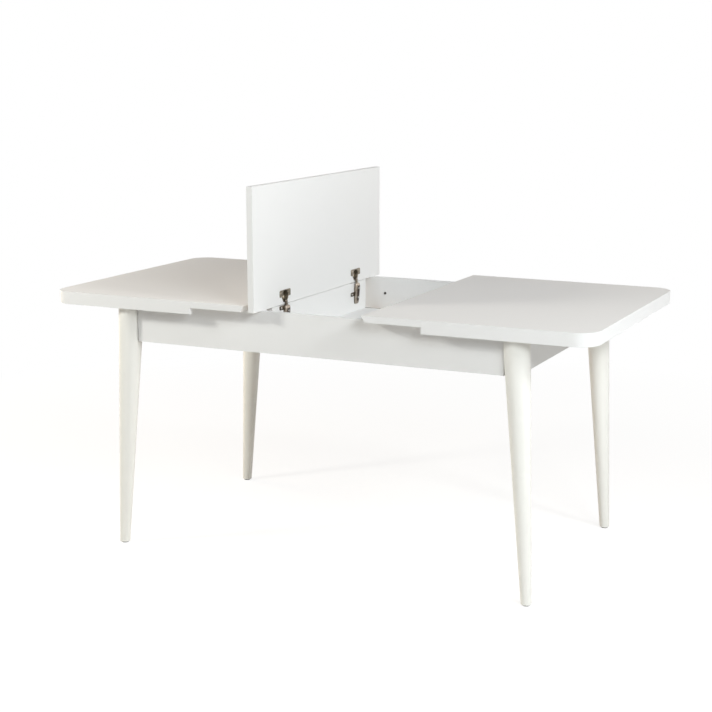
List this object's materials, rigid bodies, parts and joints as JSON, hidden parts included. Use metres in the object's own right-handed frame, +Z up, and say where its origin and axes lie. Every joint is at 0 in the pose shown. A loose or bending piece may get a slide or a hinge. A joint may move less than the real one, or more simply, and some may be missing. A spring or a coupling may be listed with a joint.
{
  "type": "extendable dining table",
  "caption": "Draw-leaf dining table with splayed round legs; its two half tops slide apart over a shallow box whose hinged lid is the extension leaf.",
  "frame": {"origin": "on the floor, under the middle of the opened table's bounding box", "axes": "+X along the table towards the half that slides out from the leaf's open side, +Y towards the back edge, +Z up"},
  "size_m": [1.636, 0.82, 1.077],
  "materials": {
    "white_board": "fine satin white melamine on particle board",
    "ivory_lacquer": "satin ivory lacquer on turned wood",
    "beech": "plain sanded beech",
    "nickel": "nickel-plated steel",
    "steel": "zinc-plated steel",
    "nylon": "black moulded nylon"
  },
  "bodies": {
    "frame": {"front_apron": "white_board", "back_apron": "white_board", "left_apron": "white_board", "right_apron": "white_board", "back_apron_screw": "steel", "front_left_leg": "ivory_lacquer", "front_left_foot_glide": "nylon", "front_left_corner_brace": "beech", "front_left_leg_bolt": "steel", "front_left_guide_rail": "beech", "front_right_leg": "ivory_lacquer", "front_right_foot_glide": "nylon", "front_right_corner_brace": "beech", "front_right_leg_bolt": "steel", "front_right_guide_rail": "beech", "back_left_leg": "ivory_lacquer", "back_left_foot_glide": "nylon", "back_left_corner_brace": "beech", "back_left_leg_bolt": "steel", "back_left_guide_rail": "beech", "back_right_leg": "ivory_lacquer", "back_right_foot_glide": "nylon", "back_right_corner_brace": "beech", "back_right_leg_bolt": "steel", "back_right_guide_rail": "beech", "left_cross_board": "white_board", "left_floor_bearer": "beech", "right_cross_board": "white_board", "right_floor_bearer": "beech", "box_floor": "white_board", "front_hinge_arm": "nickel", "front_hinge_plate": "nickel", "back_hinge_arm": "nickel", "back_hinge_plate": "nickel"},
    "left_runners": {"left_front_runner": "beech", "left_back_runner": "beech"},
    "left_top": {"left_top_panel": "white_board", "left_top_end_strip": "white_board", "left_top_front_strip": "white_board", "left_top_back_strip": "white_board", "left_front_lift_pin_1": "steel", "left_front_lift_pin_2": "steel", "left_back_lift_pin_1": "steel", "left_back_lift_pin_2": "steel"},
    "right_runners": {"right_front_runner": "beech", "right_back_runner": "beech"},
    "right_top": {"right_top_panel": "white_board", "right_top_end_strip": "white_board", "right_top_front_strip": "white_board", "right_top_back_strip": "white_board", "right_front_lift_pin_1": "steel", "right_front_lift_pin_2": "steel", "right_back_lift_pin_1": "steel", "right_back_lift_pin_2": "steel"},
    "leaf": {"leaf": "white_board", "front_hinge_cup": "nickel", "front_hinge_pin": "steel", "back_hinge_cup": "nickel", "back_hinge_pin": "steel"}
  },
  "joints": [
    {"name": "leaf_hinge", "type": "hinge", "parent": "frame", "child": "leaf", "pos_m": [-0.157, 0, 0.743], "axis": [0, 1, 0], "range_deg": [0, 90]},
    {"name": "left_top_slide", "type": "slide", "parent": "frame", "child": "left_runners", "axis": [-1, 0, 0], "range_m": [-0.0075, 0]},
    {"name": "left_top_lift", "type": "slide", "parent": "left_runners", "child": "left_top", "axis": [0, 0, 1], "range_m": [0, 0.0185]},
    {"name": "right_top_slide", "type": "slide", "parent": "frame", "child": "right_runners", "axis": [1, 0, 0], "range_m": [-0.169, 0]},
    {"name": "right_top_lift", "type": "slide", "parent": "right_runners", "child": "right_top", "axis": [0, 0, 1], "range_m": [0, 0.0185]}
  ]
}
